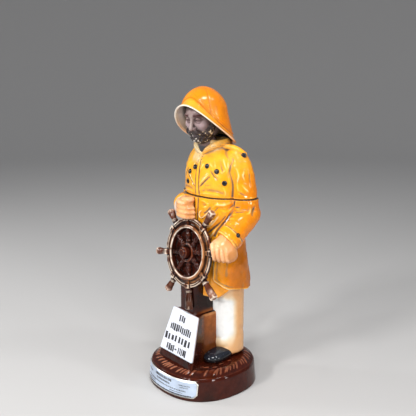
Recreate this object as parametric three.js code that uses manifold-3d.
// A glazed china decanter in the form of a seafarer in oilskins at a ship's wheel, standing on an oval plinth.
// The lower figure, wheel, pedestal and plinth are one hollow casting with a short neck at chest height.
// The chest, head and hat are a second hollow casting, which stands over the neck and lifts off.
// Millimetres, +Z up, the figure faces -Y, and the origin is the middle of the plinth's underside.
import * as THREE from "three";
import { mergeVertices } from "three/addons/utils/BufferGeometryUtils.js";
import Module from "manifold-3d";

const wasm = await Module();
wasm.setup();

// Driving sizes: the plinth
const plinthWidth = 124;
const plinthDepth = 124;
const plinthHeight = 32;
const plinthSquareness = 2.3; // 2 is an ellipse, more is squarer
const plinthEdgeHeight = 27; // where the smooth side ends and the shoulder turns in
const plinthTaper = 2.5; // how far the side leans in from foot to edge
const shoulderWidth = 11; // from the edge in to the flat deck

// Driving sizes: the pedestal and its plaque
const blockHeight = 58;
const blockFootWidth = 64;
const blockTopWidth = 47;
const blockFootFront = 43; // how far the front stands before the plinth's middle
const blockTopFront = 24.8;
const blockWaist = 39; // the block is narrower behind its front face
const blockWaistFront = 14;
const postWidth = 28;
const postFront = 23.5;
const plaqueThickness = 2;
const plaqueFootGap = 8; // from the deck up to the plaque

// Driving sizes: the wheel
const rimRadius = 40.5;
const rimWidth = 14;
const rimDepth = 8;
const rimRidge = 1.8;
const flangeWidth = 4.5; // the thin outer ring, which stands clear of what is behind the wheel
const flangeDepth = 4;
const webDrop = 4.5; // how far the disc between the spokes lies behind the rim
const hubRadius = 11.5;
const bossRadius = 7;
const bossHeight = 9;
const spokeRadius = 2.9;
const handleReach = 65; // from the wheel's middle to a handle's tip
const handleRadius = 4.2;
const spokeCount = 8;
const wheelTurn = 10.4; // degrees that the first handle stands above level
const wheelLean = 8; // degrees that the wheel's top leans towards the figure

// Driving sizes: the ceramic and its joint
const wall = 4;
const neckBore = 20;
const neckWall = 3.5;
const neckHeight = 16;
const seatGap = 0.3; // between the lid's rim and the ledge that it stands on
const lidInset = 1.4; // how much smaller the lid is than the ledge, all round
const registerHeight = 3; // the low ring that keeps the lid from sliding
const registerWidth = 3;
const registerGap = 0.8;

// Driving sizes: the stuck label
const labelWidth = 92;
const labelHeight = 20;
const labelThickness = 0.4;
const labelCorner = 4;
const labelGap = 0.3;
const labelBottom = 4;

// The figure is a free form: its pose and carving are shares of its own height above the deck.
const figureHeight = 318;
const modelledHeight = 318; // the height for which the figure's numbers below are written
const share = figureHeight / modelledHeight;
const seam = 194; // where the figure parts, above the deck
const buttonRadius = 2.65;
const buttonProud = 1;
const placketWidth = 11;
const placketProud = 0.9;

// The figure's level sections, from the coat's hem up to the collar
const coat = [
  { z: 88, y: 20.8, a: 43.8, b: 33.7 },
  { z: 103, y: 20, a: 43, b: 32.5 },
  { z: 128, y: 19, a: 41, b: 31 },
  { z: 153, y: 18, a: 40.5, b: 29.5 },
  { z: 173, y: 18.5, a: 41, b: 28.5 },
  { z: 194, y: 19, a: 42, b: 28 },
];
const chest = [
  { z: 194, y: 19, a: 42, b: 28 },
  { z: 208, y: 18.5, a: 42, b: 28 },
  { z: 223, y: 18, a: 41, b: 26.5 },
  { z: 236, y: 17, a: 36, b: 22 },
  { z: 246, y: 16, a: 26, b: 17 },
  { z: 254, y: 15, a: 17, b: 15 },
];
const bodySquareness = 2.3;
const hemDip = 12; // the coat hangs lower in front, where it falls open

// The hat: a dome, a band and a brim that is high before the face and low on the nape
const hat = { y: 4.65, turn: 6, top: 318, bulgeHeight: 290, domeRadius: 26.4, flare: 0.19, nod: 4 };
const brim = { halfWidth: 35.7, halfDepth: 32.3, side: 265.8, rise: 24, curl: 8, edge: 2.6, drop: 8.5 };

const legs = { spread: 16, y: 24.7, radius: 20.4, cuffRadius: 21.2 };
const neck = { y: 19 };

const rad = THREE.MathUtils.degToRad;
const at = (x, y, z) => new THREE.Vector3(x * share, y * share, plinthHeight + z * share);

// A closed three.js geometry as a solid whose faces point out
function solid(geometry) {
  geometry.deleteAttribute("normal");
  geometry.deleteAttribute("uv");
  const merged = mergeVertices(geometry, 1e-4);
  const build = (triVerts) =>
    new wasm.Manifold(
      new wasm.Mesh({ numProp: 3, vertProperties: merged.attributes.position.array, triVerts }),
    );
  const triangles = new Uint32Array(merged.index.array);
  const made = build(triangles);
  return made.volume() > 0 ? made : build(triangles.reverse());
}

const join = (...solids) => solids.flat().reduce((sum, next) => sum.add(next));

// A solid without the pinholes that its pieces enclose between them
const filled = (made) => made.decompose().reduce((a, b) => (b.volume() > a.volume() ? b : a));

// A cylinder whose rings are moved to where place(row, angle) says; a cap's middle is the mean of its ring
function skin(rows, sides, place) {
  const g = new THREE.CylinderGeometry(1, 1, 1, sides, rows - 1);
  const p = g.attributes.position;
  const middles = [0, rows - 1].map((row) => {
    const sum = new THREE.Vector3();
    for (let k = 0; k < sides; k++) sum.add(place(row, (k / sides) * 2 * Math.PI));
    return sum.divideScalar(sides);
  });
  for (let i = 0; i < p.count; i++) {
    const row = Math.round((0.5 - p.getY(i)) * (rows - 1));
    const middle = Math.hypot(p.getX(i), p.getZ(i)) < 0.5;
    // the angle is rounded to its step, so that the seam's two ends meet exactly
    const step = Math.round((Math.atan2(p.getX(i), p.getZ(i)) / (2 * Math.PI)) * sides);
    const angle = (((step + sides) % sides) / sides) * 2 * Math.PI;
    const q = middle ? middles[row === 0 ? 0 : 1] : place(row, angle);
    p.setXYZ(i, q.x, q.y, q.z);
  }
  return solid(g);
}

// A point at an angle on a superellipse with half-widths a and b
function superellipse(angle, a, b, squareness) {
  const c = Math.cos(angle);
  const s = Math.sin(angle);
  const r = (Math.abs(c) ** squareness + Math.abs(s) ** squareness) ** (-1 / squareness);
  return [a * r * c, b * r * s];
}

// The section of a stack of sections at t, from 0 at its first to 1 at its last
function sectionAt(stack, t) {
  const sizes = new THREE.CatmullRomCurve3(
    stack.map((s) => new THREE.Vector3(s.a, s.b, s.z)),
    false,
    "catmullrom",
  ).getPoint(t);
  const y = new THREE.CatmullRomCurve3(
    stack.map((s) => new THREE.Vector3(s.y, 0, 0)),
    false,
    "catmullrom",
  ).getPoint(t).x;
  return { a: sizes.x, b: sizes.y, z: sizes.z, y };
}

// A body of level sections, pulled in all round by an inset; its foot can dip at the front
function stacked(stack, rows, sides, inset = 0, dip = 0) {
  return skin(rows, sides, (row, angle) => {
    const t = row / (rows - 1);
    const s = sectionAt(stack, t);
    const [x, y] = superellipse(angle, s.a - inset / share, s.b - inset / share, bodySquareness);
    const front = Math.max(0, -Math.sin(angle)) ** 1.5;
    return at(x, s.y + y, s.z - dip * front * Math.max(0, 1 - 3 * t));
  });
}

// Where a stack's front surface is at a given x and height
function frontOf(stack, x, z) {
  let t = 0;
  while (t < 1 && sectionAt(stack, t).z < z) t += 0.01;
  const s = sectionAt(stack, Math.min(t, 1));
  const across = Math.min(Math.abs(x / s.a), 0.98);
  return s.y - s.b * (1 - across ** bodySquareness) ** (1 / bodySquareness);
}

// A round limb along a smooth curve, with domed ends
function limb(points, radii, sides = 12, steps = 6) {
  const curve = new THREE.CatmullRomCurve3(points.map((p) => at(...p)));
  const radius = new THREE.CatmullRomCurve3(radii.map((r, i) => new THREE.Vector3(r * share, i, 0)));
  const frames = curve.computeFrenetFrames(steps, false);
  const dome = [0.7];
  const rows = steps + 1 + 2 * dome.length;
  return skin(rows, sides, (row, angle) => {
    const k = row - dome.length;
    const step = THREE.MathUtils.clamp(k, 0, steps);
    const t = step / steps;
    const inDome = k < 0 ? dome[row] : k > steps ? dome[rows - 1 - row] : 1;
    const r = radius.getPoint(t).x;
    const along = (k < 0 ? -1 : 1) * r * Math.sqrt(1 - inDome ** 2);
    return curve
      .getPoint(t)
      .addScaledVector(frames.tangents[step], along)
      .addScaledVector(frames.normals[step], r * inDome * Math.cos(angle))
      .addScaledVector(frames.binormals[step], r * inDome * Math.sin(angle));
  });
}

// An ellipsoid with its middle and half-sizes in the figure's shares, tilted and then turned
function egg(middle, halves, { tilt = 0, turn = 0, sides = 14, rows = 9 } = {}) {
  const g = new THREE.SphereGeometry(1, sides, rows);
  g.rotateX(Math.PI / 2);
  g.scale(...halves.map((h) => h * share));
  g.rotateX(rad(tilt));
  g.rotateZ(rad(turn));
  const m = at(...middle);
  g.translate(m.x, m.y, m.z);
  return solid(g);
}

// A box between two corners, in millimetres
function block(low, high) {
  const g = new THREE.BoxGeometry(high[0] - low[0], high[1] - low[1], high[2] - low[2]);
  g.translate((low[0] + high[0]) / 2, (low[1] + high[1]) / 2, (low[2] + high[2]) / 2);
  return solid(g);
}

// An upright round bar between two heights, in millimetres
function drum(x, y, radius, bottom, top, sides = 28) {
  const g = new THREE.CylinderGeometry(radius, radius, top - bottom, sides);
  g.rotateX(Math.PI / 2);
  g.translate(x, y, (top + bottom) / 2);
  return solid(g);
}

// The plinth

// How far the plinth's outline lies inside its widest, at a height above the floor
function plinthInset(z) {
  return (plinthTaper * Math.min(z, plinthEdgeHeight)) / plinthEdgeHeight;
}

function plinth() {
  const rise = plinthHeight - plinthEdgeHeight;
  const footChamfer = 1.2;
  const rows = [
    [0, footChamfer],
    [footChamfer, 0],
    [plinthEdgeHeight, plinthTaper],
    [plinthEdgeHeight + 0.45 * rise, plinthTaper + 0.18 * shoulderWidth],
    [plinthEdgeHeight + 0.8 * rise, plinthTaper + 0.5 * shoulderWidth],
    [plinthHeight, plinthTaper + shoulderWidth],
  ];
  return skin(rows.length, 40, (row, angle) => {
    const [z, inset] = rows[row];
    const [x, y] = superellipse(angle, plinthWidth / 2 - inset, plinthDepth / 2 - inset, plinthSquareness);
    return new THREE.Vector3(x, y, z);
  });
}

function plinthHollow() {
  const inset = wall + plinthTaper;
  return skin(2, 32, (row, angle) => {
    const [x, y] = superellipse(angle, plinthWidth / 2 - inset, plinthDepth / 2 - inset, plinthSquareness);
    return new THREE.Vector3(x, y, row ? plinthEdgeHeight - wall / 2 : wall);
  });
}

// The pedestal: a tapered block that carries the plaque, and the post above it. Both run back into the legs.

// A prism between two heights above the deck, whose corners at each height come from a list
function prism(heights, cornersAt) {
  const sides = cornersAt(heights[0]).length;
  return skin(heights.length, sides, (row, angle) => {
    const [x, y] = cornersAt(heights[row])[Math.round((angle / (2 * Math.PI)) * sides) % sides];
    return new THREE.Vector3(x, y, plinthHeight + heights[row]);
  });
}

const pedestalBack = legs.y * share;
const postTop = 97; // hidden behind the wheel's rim

// The block's front half-width and front at a height above the deck
const blockHalf = (h) => (blockFootWidth + ((blockTopWidth - blockFootWidth) * h) / blockHeight) / 2;
const blockFront = (h) => blockFootFront + ((blockTopFront - blockFootFront) * h) / blockHeight;

const blockCorners = (inset) => (h) => {
  const half = blockHalf(h) - 1.6 * inset;
  const waist = blockWaist / 2 - inset;
  return [
    [-half, -blockFront(h) + inset],
    [half, -blockFront(h) + inset],
    [waist, -blockWaistFront],
    [waist, pedestalBack],
    [-waist, pedestalBack],
    [-waist, -blockWaistFront],
  ];
};

const postCorners = (inset) => () => {
  const half = postWidth / 2 - inset;
  return [
    [-half, -postFront + inset],
    [half, -postFront + inset],
    [half, pedestalBack],
    [-half, pedestalBack],
  ];
};

// The plate on the block's front, whose edges stand on the block's own
function plaque() {
  const corners = (h) => {
    const front = -blockFront(h);
    return [
      [-blockHalf(h) + 1, front - plaqueThickness],
      [blockHalf(h) - 1, front - plaqueThickness],
      [blockHalf(h), front - plaqueThickness / 2],
      [blockHalf(h) - 1, front + 2],
      [-blockHalf(h) + 1, front + 2],
      [-blockHalf(h), front - plaqueThickness / 2],
    ];
  };
  return prism([plaqueFootGap, blockHeight], corners);
}

function pedestal() {
  return join(prism([-3, blockHeight - 1], blockCorners(0)), prism([0, postTop], postCorners(0)), plaque());
}

function pedestalHollow() {
  const floor = plinthEdgeHeight - plinthHeight - wall;
  const inBlock = prism([floor, blockHeight - wall], blockCorners(wall));
  return join(inBlock, prism([0, postTop - wall], postCorners(wall)));
}

// The wheel, built flat and then stood up

const wheelMiddle = [0, -19.5, 129];

// Stands a flat piece of the wheel up in its place: the flat top becomes the front
function stand(geometry) {
  const m = at(...wheelMiddle);
  geometry.scale(share, share, share);
  geometry.rotateX(rad(90 - wheelLean));
  geometry.translate(m.x, m.y, m.z);
  return solid(geometry);
}

const spokeAngle = (k) => rad(wheelTurn) + (k * 2 * Math.PI) / spokeCount;

// A point in the figure's shares on the wheel's plane, at a radius and angle, and so far before it
function onWheel(radius, angle, before = 0) {
  const lean = rad(wheelLean);
  const up = radius * Math.sin(angle);
  return [
    wheelMiddle[0] + radius * Math.cos(angle),
    wheelMiddle[1] + up * Math.sin(lean) - before * Math.cos(lean),
    wheelMiddle[2] + up * Math.cos(lean) + before * Math.sin(lean),
  ];
}

function wheelDisc() {
  const face = rimDepth / 2;
  const inner = rimRadius - rimWidth;
  const flangeFront = face - 0.5;
  const profile = [
    [0, -face],
    [rimRadius - flangeWidth - 1, -face],
    [rimRadius - flangeWidth, -face + 1],
    [rimRadius - flangeWidth, flangeFront - flangeDepth],
    [rimRadius - 1, flangeFront - flangeDepth],
    [rimRadius, flangeFront - flangeDepth + 1],
    [rimRadius, flangeFront - 1],
    [rimRadius - 1, flangeFront],
    [rimRadius - flangeWidth, flangeFront],
    [rimRadius - flangeWidth - 1, face - 2],
    [inner + 5.5, face - 2],
    [inner + 4.5, face + rimRidge],
    [inner + 1.5, face + rimRidge],
    [inner, face],
    [inner, face - webDrop],
    [hubRadius, face - webDrop],
    [hubRadius, face - 0.5],
    [hubRadius - 2, face + 1],
    [bossRadius + 1.5, face + 1],
    [bossRadius, face + bossHeight],
    [bossRadius / 2, face + bossHeight],
    [0, face + bossHeight - 1],
  ].map(([r, z]) => new THREE.Vector2(r, z));
  const g = new THREE.LatheGeometry(profile, 30);
  g.rotateX(Math.PI / 2);
  return stand(g);
}

function spoke(k) {
  const a = spokeAngle(k);
  const front = rimDepth / 2 - webDrop + 0.5;
  const inner = rimRadius - rimWidth;
  const stops = [hubRadius - 1, hubRadius + 3, hubRadius + 6, inner - 3, inner + 1];
  const widths = [1.1, 0.75, 1, 0.7, 1];
  return limb(stops.map((r) => onWheel(r, a, front)), widths.map((w) => w * spokeRadius), 6, 4);
}

function handle(k) {
  const a = spokeAngle(k);
  const reach = handleReach - rimRadius;
  const stops = [-1, 0.15, 0.45, 0.72, 0.88].map((f) => rimRadius + (f < 0 ? -2 : f * reach));
  const widths = [0.8, 0.7, 1, 0.85, 1];
  return limb(stops.map((r) => onWheel(r, a)), widths.map((w) => w * handleRadius), 6, 4);
}

// The small blocks that cap the rim's joints, one at each spoke
function rimBlock(k) {
  const depth = 1;
  const g = new THREE.BoxGeometry(8, 6, depth * 2);
  g.translate(rimRadius - 4.5, 0, rimDepth / 2);
  g.rotateZ(spokeAngle(k));
  return stand(g);
}

function wheel() {
  const all = [...Array(spokeCount).keys()];
  return join(wheelDisc(), all.map(spoke), all.map(handle), all.map(rimBlock));
}

// The lower figure

function leg(side) {
  const x = side * legs.spread * share;
  const y = legs.y * share;
  const rows = [
    [-3, legs.cuffRadius - 2],
    [2, legs.cuffRadius],
    [7, legs.cuffRadius],
    [24, legs.radius],
    [92, legs.radius + 0.6],
  ];
  return skin(rows.length, 18, (row, angle) => {
    const [z, r] = rows[row];
    return new THREE.Vector3(
      x + r * share * Math.cos(angle),
      y + r * share * Math.sin(angle),
      plinthHeight + z * share,
    );
  });
}

function legHollow() {
  const floor = plinthEdgeHeight - wall;
  const top = plinthHeight + 100 * share;
  const r = legs.radius * share - wall;
  const x = legs.spread * share;
  const y = legs.y * share;
  // between the legs the hollow is as narrow as the crease there allows
  const crease = Math.sqrt(legs.radius ** 2 - legs.spread ** 2) * share - wall;
  const between = block([-x, y - crease, floor], [x, y + crease, top]);
  return join(drum(-x, y, r, floor, top, 16), drum(x, y, r, floor, top, 16), between);
}

function shoe(side) {
  const turn = 6 * side;
  return join(
    egg([side * 27, -1, 3], [11, 17, 10], { turn, sides: 10, rows: 6 }),
    egg([side * 24, 10, 4], [12, 16, 13], { turn, sides: 10, rows: 6 }),
  );
}

// A coat that hangs from the seam to the hem; it falls open below the wheel, where its front edges turn out
function lowerCoat() {
  const edge = (side) =>
    limb([[side * 33, -5, 84], [side * 30, -8.5, 103], [side * 27, -10.5, 122]], [3.2, 2.8, 1.8], 8, 3);
  const trim = [1, -1].flatMap((side) => [pocket(side), edge(side)]);
  return join(stacked(coat, 7, 26, 0, hemDip), placketOn(coat, 128, seam), trim);
}

// The raised strip down a coat's front
function placketOn(stack, from, to) {
  const rows = 6;
  const around = [[-0.5, 1], [0.5, 1], [0.5, -3], [-0.5, -3]];
  return skin(rows, around.length, (row, angle) => {
    const z = from + ((to - from) * row) / (rows - 1);
    const [across, out] = around[Math.round((angle / (2 * Math.PI)) * around.length) % around.length];
    const proud = out > 0 ? placketProud : out;
    return at(across * placketWidth, frontOf(stack, 0, z) - proud / share, z);
  });
}

// A slanted pocket flap on the coat's side front
function pocket(side) {
  const low = [side * 27, 158];
  const high = [side * 39, 182];
  const ends = [low, high].map(([x, z]) => [x, frontOf(coat, x, z) + 1, z]);
  const middle = ends[0].map((v, i) => (v + ends[1][i]) / 2);
  return limb([ends[0], [middle[0], middle[1] - 1.2, middle[2]], ends[1]], [2.2, 3.2, 2.4], 8, 4);
}

// The arms: each passes the seam, so the same form is used above it and below it
const arms = {
  left: {
    upper: [[29, 24.5, 238], [36.5, 25, 226], [39, 26, 212], [41, 26.2, 194], [45, 27, 176]],
    upperRadii: [14, 16, 16.5, 17.2, 15.8],
    fore: [[46, 27, 175], [50, 13, 166], [50.5, -1, 154]],
    foreRadii: [15.6, 14.5, 13],
    cuff: [[50.5, 4, 158], [50.5, -3.5, 151.5]],
    hand: [[50.5, -3, 151], [51, -12, 144], [52, -17, 139]],
    handRadii: [10.5, 10.5, 9],
  },
  right: {
    upper: [[-29, 24.5, 238], [-36.5, 25, 226], [-39, 26, 212], [-41, 26.2, 194], [-44, 24, 179]],
    upperRadii: [14, 16, 16.5, 17.2, 15.8],
    fore: [[-44, 24, 179], [-39, 8, 179], [-29, -4, 180]],
    foreRadii: [15.2, 13.5, 12],
    cuff: [[-33, -1, 179.5], [-26, -6, 180]],
    hand: [[-25, -7, 179.5], [-16, -11, 178.5], [-9, -14, 178]],
    handRadii: [10, 9, 8.5],
  },
};

function upperArm(arm) {
  return limb(arm.upper, arm.upperRadii, 12, 5);
}

function forearm(arm) {
  const band = arm.foreRadii.at(-1) + 1.2;
  return join(
    limb(arm.fore, arm.foreRadii, 12, 4),
    limb(arm.cuff, [band, band], 12, 2),
    limb(arm.hand, arm.handRadii, 10, 3),
  );
}

// A fist's four fingers, each curled about the handle that it holds
function fingers(k, nearest, thickness, curl) {
  const a = spokeAngle(k);
  const pitch = 2 * thickness * 0.9;
  const across = [-Math.sin(a), Math.cos(a)];
  return [0, 1, 2, 3].map((n) => {
    const middle = nearest + n * pitch;
    const points = curl.map(([side, before]) => {
      const p = onWheel(middle, a, before);
      return [p[0] + side * across[0], p[1], p[2] + side * across[1]];
    });
    return limb(points, points.map(() => thickness), 6, 3);
  });
}

// The palm that fills a fist behind its fingers
function palm(k, nearest, thickness) {
  const a = spokeAngle(k);
  const ends = [nearest - 2, nearest + 6 * thickness * 0.9 + 2].map((r) => onWheel(r, a, 1.5));
  return limb(ends, [2.2 * thickness, 2.2 * thickness], 10, 2);
}

const leftCurl = [[11, -3], [10, 6], [3, 11], [-6, 9], [-10, 3]];
const leftFingers = () => fingers(0, 45, 3.6, leftCurl).concat(palm(0, 45, 3.6));
const rightCurl = [[8, -4], [8.5, 4], [3, 9.5], [-5, 9.5], [-10, 5]];
const rightFingers = () => fingers(2, 42, 3.0, rightCurl).concat(palm(2, 42, 3.0));

// The low ring inside the lid's rim, and the neck behind it
function registerRing(top) {
  const ring = (inset) =>
    skin(2, 28, (row, angle) => {
      const s = coat.at(-1);
      const [x, y] = superellipse(angle, s.a * share - inset, s.b * share - inset, bodySquareness);
      return new THREE.Vector3(x, s.y * share + y, row ? top : plinthHeight + seam * share - wall);
    });
  const outer = lidInset + wall + registerGap;
  return ring(outer).subtract(ring(outer + registerWidth));
}

const seamHeight = plinthHeight + seam * share;
const reach = 200; // larger than the figure, for cutting

function vessel() {
  const below = block([-reach, -reach, -1], [reach, reach, seamHeight]);
  const figure = join(
    lowerCoat(),
    [1, -1].flatMap((side) => [leg(side), shoe(side)]),
    Object.values(arms).flatMap((arm) => [upperArm(arm), forearm(arm)]),
    leftFingers(),
    rightFingers(),
    cuffButton(),
  );
  const bodyHollow = stacked(coat, 6, 20, wall).intersect(
    block([-reach, -reach, 0], [reach, reach, seamHeight - wall]),
  );
  const neckTop = seamHeight + neckHeight;
  const y = neck.y * share;
  return filled(join(join(figure, wheel()).intersect(below), plinth(), pedestal()))
    .add(registerRing(seamHeight + registerHeight))
    .add(drum(0, y, neckBore / 2 + neckWall, seamHeight - wall, neckTop))
    .subtract(join(plinthHollow(), pedestalHollow(), legHollow()))
    .subtract(bodyHollow.subtract(coatFloor()))
    .subtract(drum(0, y, neckBore / 2, seamHeight - wall - 2, neckTop + 1));
}

// What stays of the coat's hollow at the hem, so that its underside has a wall
function coatFloor() {
  const hem = plinthHeight + coat[0].z * share;
  return block([-reach, -reach, hem - wall], [reach, reach, hem + wall]).subtract(legHollow());
}

// A button: a short round stud set square to the form under it
function stud(middle, outward) {
  const r = buttonRadius * share;
  const g = new THREE.CylinderGeometry(r * 0.8, r, 2 * buttonProud + 1, 10);
  const up = new THREE.Vector3(0, 1, 0);
  const turned = new THREE.Quaternion().setFromUnitVectors(up, outward.clone().normalize());
  g.applyQuaternion(turned);
  g.translate(middle.x, middle.y, middle.z);
  return solid(g);
}

function chestButton([x, z]) {
  const step = 0.5;
  const slope = (frontOf(chest, x + step, z) - frontOf(chest, x - step, z)) / (2 * step);
  const rise = (frontOf(chest, x, z + step * 4) - frontOf(chest, x, z - step * 4)) / (8 * step);
  return stud(at(x, frontOf(chest, x, z) + lidInset / share, z), new THREE.Vector3(slope, -1, rise));
}

function cuffButton() {
  return stud(at(64, 4, 158.5), new THREE.Vector3(0.95, -0.2, -0.2));
}

// The lid: chest, collar, head and hat

// A hat's outline at an angle from the front: how far out, and how high the brim's edge is
function brimEdge(angle) {
  const c = Math.cos(angle);
  const z = brim.side + brim.rise * c + brim.curl * c * c;
  return { out: Math.hypot(brim.halfWidth * Math.sin(angle), brim.halfDepth * c), z };
}

function domeRadiusAt(z) {
  const over = (z - hat.bulgeHeight) / (hat.top - hat.bulgeHeight);
  if (over <= 0) return hat.domeRadius + hat.flare * (hat.bulgeHeight - z);
  return hat.domeRadius * Math.sqrt(Math.max(0, 1 - over * over));
}

function sowester() {
  const crownRows = 7;
  // after the crown: brim edge, its inner edge, the root of its underside, and a ceiling over the face
  const rows = crownRows + 4;
  const turn = rad(hat.turn);
  return skin(rows, 30, (row, angle) => {
    const edge = brimEdge(angle);
    const bandZ = edge.z + brim.drop;
    const bandR = domeRadiusAt(bandZ);
    let r;
    let z;
    if (row < crownRows) {
      const t = (row / (crownRows - 1)) * (Math.PI / 2);
      z = hat.top - (hat.top - bandZ) * (1 - Math.cos(Math.max(t, 0.16)));
      r = row === 0 ? 4 : domeRadiusAt(z);
    } else {
      const step = row - crownRows;
      r = [edge.out, edge.out - brim.edge, bandR - 2, bandR * 0.5][step];
      z = [edge.z, edge.z + 0.6, bandZ - 1, bandZ - 1][step];
    }
    // the crown nods forward above the band
    const nod = hat.nod * Math.max(0, (z - brim.side) / (hat.top - brim.side));
    const x = r * Math.sin(angle);
    const y = -r * Math.cos(angle) - nod;
    return at(x * Math.cos(turn) - y * Math.sin(turn), hat.y + x * Math.sin(turn) + y * Math.cos(turn), z);
  });
}

// A point of the head: from its middle at the eyes, turned with the hat and bowed a little forward
const face = { middle: [0, 2, 283.5], bow: 10 };

function onHead(x, y, z) {
  const turn = rad(hat.turn);
  const bow = rad(face.bow);
  const forward = y * Math.cos(bow) - z * Math.sin(bow);
  const up = z * Math.cos(bow) + y * Math.sin(bow);
  return [
    face.middle[0] + x * Math.cos(turn) - forward * Math.sin(turn),
    face.middle[1] + x * Math.sin(turn) + forward * Math.cos(turn),
    face.middle[2] + up,
  ];
}

function head() {
  const lean = { tilt: face.bow, turn: hat.turn };
  const line = (points, radii, steps = 3) => limb(points.map((p) => onHead(...p)), radii, 8, steps);
  const skull = egg(onHead(0, 1, 4), [18.5, 23, 22], { ...lean, sides: 14, rows: 8 });
  const jaw = egg(onHead(0, -6, -12), [14, 14, 13], { ...lean, sides: 12, rows: 7 });
  const beard = egg(onHead(0, -5.5, -16), [15, 14.5, 12.5], { ...lean, sides: 14, rows: 8 });
  const nose = line([[0, -20, 4], [0, -23, -2], [0, -24.5, -8]], [1.8, 2.4, 3.3]);
  const lip = [[-9.5, -17, -15.5], [-4, -20.5, -12], [4, -20.5, -12], [9.5, -17, -15.5]];
  const moustache = line(lip, [1.8, 3, 3, 1.8], 6);
  const pairs = [1, -1].flatMap((side) => [
    line([[side * 3, -21.2, 5.5], [side * 8, -19.8, 7], [side * 13, -15.5, 5]], [1.6, 2, 1.4]),
    egg(onHead(side * 7.5, -16.3, 0.5), [3.6, 3.6, 3], { sides: 8, rows: 6 }),
    line([[side * 8, -18, -6], [side * 12, -14, -4]], [3.4, 3.2], 2),
    line([[side * 17.5, -3, -3], [side * 15.5, -6, -11], [side * 10, -11, -19]], [3.5, 4.5, 5]),
  ]);
  const throat = limb([[0, 9, 236], [0, 7, 262]], [13, 14], 12, 2);
  return join(skull, jaw, beard, nose, moustache, pairs, throat);
}

// The collar: a raised band that falls open to a V at the throat
function collar() {
  const band = [-1, 1].map((side) =>
    limb(
      [[side * 1.2, -1.5, 243.5], [side * 11, -1, 249], [side * 19, 9, 254], [side * 17, 21, 255], [0, 27, 254]],
      [2.6, 3.6, 3.8, 3.8, 3.8],
      8,
      7,
    ),
  );
  return join(band);
}

// A strap along each shoulder, from the collar to a button
function shoulderStrap(side) {
  return join(
    limb([[side * 23, 17, 246.5], [side * 31, 20.5, 245], [side * 39, 24.5, 242]], [4, 4.5, 4], 8, 4),
    stud(at(side * 40, 25.5, 244.5), new THREE.Vector3(side * 0.5, 0.1, 0.85)),
  );
}

// The chest's outside with the arms that come off it, pulled in from the ledge below
function upperBody() {
  const pulled = (arm) => limb(arm.upper, arm.upperRadii.map((r) => r - lidInset / share), 12, 5);
  const raised = chest.map((s, i) => ({ ...s, z: i ? s.z : s.z - 6 }));
  return join(
    stacked(raised, 7, 26, lidInset),
    Object.values(arms).map(pulled),
    placketOn(chest.map((s) => ({ ...s, b: s.b - lidInset / share })), seam - 2, 243),
  );
}

// Places of the chest's buttons, as x and height
const chestButtons = [
  [14, 230],
  [27, 225],
  [35.5, 212],
  [-5.2, 227.4],
  [-14.6, 221.2],
  [-19.6, 208.8],
];

const lidHollowTop = 238;
const headHollow = { radius: 7, top: 272 };

function lid() {
  const floor = seamHeight + seatGap;
  const above = block([-reach, -reach, floor], [reach, reach, reach * 3]);
  const chestHollow = stacked(
    chest.map((s, i) => ({ ...s, z: i ? s.z : s.z - 6 })),
    6,
    20,
    lidInset + wall,
  ).intersect(block([-reach, -reach, floor - 1], [reach, reach, plinthHeight + lidHollowTop * share]));
  const bore = drum(
    0,
    9 * share,
    headHollow.radius * share,
    plinthHeight + (lidHollowTop - 4) * share,
    plinthHeight + headHollow.top * share,
    14,
  );
  return filled(
    join(
      upperBody(),
      collar(),
      [1, -1].map(shoulderStrap),
      chestButtons.map(chestButton),
      head(),
      sowester(),
    ),
  )
    .intersect(above)
    .subtract(join(chestHollow, bore));
}

// The stuck label: a thin strip with cut corners, bent round the plinth's front
function label() {
  const steps = 20;
  const g = new THREE.BoxGeometry(labelWidth, labelThickness, labelHeight, steps, 1, 2);
  const p = g.attributes.position;
  // the plinth's outline as points at equal lengths, from its front middle round to the side
  const outline = (inset) => {
    const points = [];
    for (let i = 0; i <= 200; i++) {
      const angle = -Math.PI / 2 + (i / 200) * (Math.PI / 2);
      const [x, y] = superellipse(angle, plinthWidth / 2 - inset, plinthDepth / 2 - inset, plinthSquareness);
      points.push(new THREE.Vector2(x, y));
    }
    return points;
  };
  const place = (length, out, inset) => {
    const points = outline(inset);
    let left = Math.abs(length);
    let i = 0;
    while (i < points.length - 2 && left > points[i].distanceTo(points[i + 1])) {
      left -= points[i].distanceTo(points[i + 1]);
      i++;
    }
    const along = points[i + 1].clone().sub(points[i]).normalize();
    const q = points[i].clone().addScaledVector(along, left);
    q.x += along.y * out;
    q.y -= along.x * out;
    return [Math.sign(length) * q.x, q.y];
  };
  for (let i = 0; i < p.count; i++) {
    const length = p.getX(i);
    const fromEnd = labelWidth / 2 - Math.abs(length);
    const half = labelHeight / 2 - Math.max(0, labelCorner - fromEnd);
    const z = labelBottom + labelHeight / 2 + Math.sign(Math.round(p.getZ(i))) * half;
    const out = labelGap + (p.getY(i) < 0 ? labelThickness : 0);
    const [x, y] = place(length, out, plinthInset(z));
    p.setXYZ(i, x, y, z);
  }
  return solid(g);
}

// The scene graph

function node(name, made, colour, roughness, metalness = 0) {
  const m = made.getMesh();
  const g = new THREE.BufferGeometry();
  g.setAttribute("position", new THREE.BufferAttribute(m.vertProperties, 3));
  g.setIndex(new THREE.BufferAttribute(m.triVerts, 1));
  g.computeVertexNormals();
  const mesh = new THREE.Mesh(g, new THREE.MeshStandardMaterial({ color: colour, roughness, metalness }));
  mesh.name = name;
  return mesh;
}

const root = new THREE.Group();
root.add(
  node("decanter_vessel", vessel(), 0xd98a1a, 0.15),
  node("figure_lid", lid(), 0xf09a1c, 0.15),
  node("foil_label", label(), 0xb9cbe6, 0.35, 0.5),
);

export default root;
